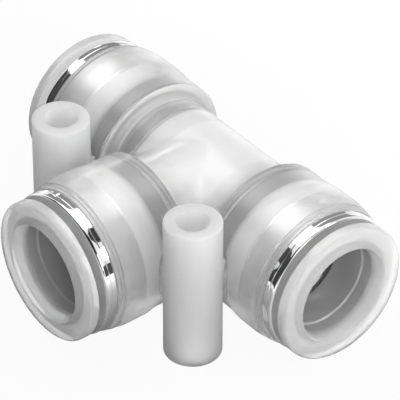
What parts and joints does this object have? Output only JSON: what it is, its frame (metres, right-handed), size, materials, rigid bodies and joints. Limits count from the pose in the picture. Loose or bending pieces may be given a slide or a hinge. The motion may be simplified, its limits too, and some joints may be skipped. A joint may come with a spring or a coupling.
{
  "type": "push-in tee fitting",
  "caption": "Push-in tee that joins plastic tubes, with sprung release rings and drilled mounting posts.",
  "frame": {"origin": "where the axes of the three ports cross", "axes": "+X along the run towards the right port, -Y along the branch, +Z along the mounting posts"},
  "size_m": [0.0528, 0.0365, 0.0204],
  "materials": {
    "milky_housing": "translucent natural polypropylene, soft sheen",
    "clear_ring": "clear natural polypropylene, glossy",
    "bright_steel": "turned and polished stainless steel",
    "spring_steel": "bright stamped stainless spring steel",
    "hard_ring": "white hard plastic",
    "seal_rubber": "black rubber"
  },
  "bodies": {
    "tee": {"tee_body": "milky_housing", "left_seal_ring": "seal_rubber", "left_backup_ring": "hard_ring", "left_support_ring": "hard_ring", "left_grab_ring": "spring_steel", "left_retaining_sleeve": "bright_steel", "right_seal_ring": "seal_rubber", "right_backup_ring": "hard_ring", "right_support_ring": "hard_ring", "right_grab_ring": "spring_steel", "right_retaining_sleeve": "bright_steel", "branch_seal_ring": "seal_rubber", "branch_backup_ring": "hard_ring", "branch_support_ring": "hard_ring", "branch_grab_ring": "spring_steel", "branch_retaining_sleeve": "bright_steel"},
    "left_release": {"left_release_ring": "clear_ring"},
    "right_release": {"right_release_ring": "clear_ring"},
    "branch_release": {"branch_release_ring": "clear_ring"}
  },
  "joints": [
    {"name": "right_release_slide", "type": "slide", "parent": "tee", "child": "right_release", "axis": [-1, 0, 0], "range_m": [0, 0.001], "stiffness_N_per_m": 400, "springref_m": -0.002},
    {"name": "left_release_slide", "type": "slide", "parent": "tee", "child": "left_release", "axis": [1, 0, 0], "range_m": [0, 0.001], "stiffness_N_per_m": 400, "springref_m": -0.002},
    {"name": "branch_release_slide", "type": "slide", "parent": "tee", "child": "branch_release", "axis": [0, 1, 0], "range_m": [0, 0.001], "stiffness_N_per_m": 400, "springref_m": -0.002}
  ]
}
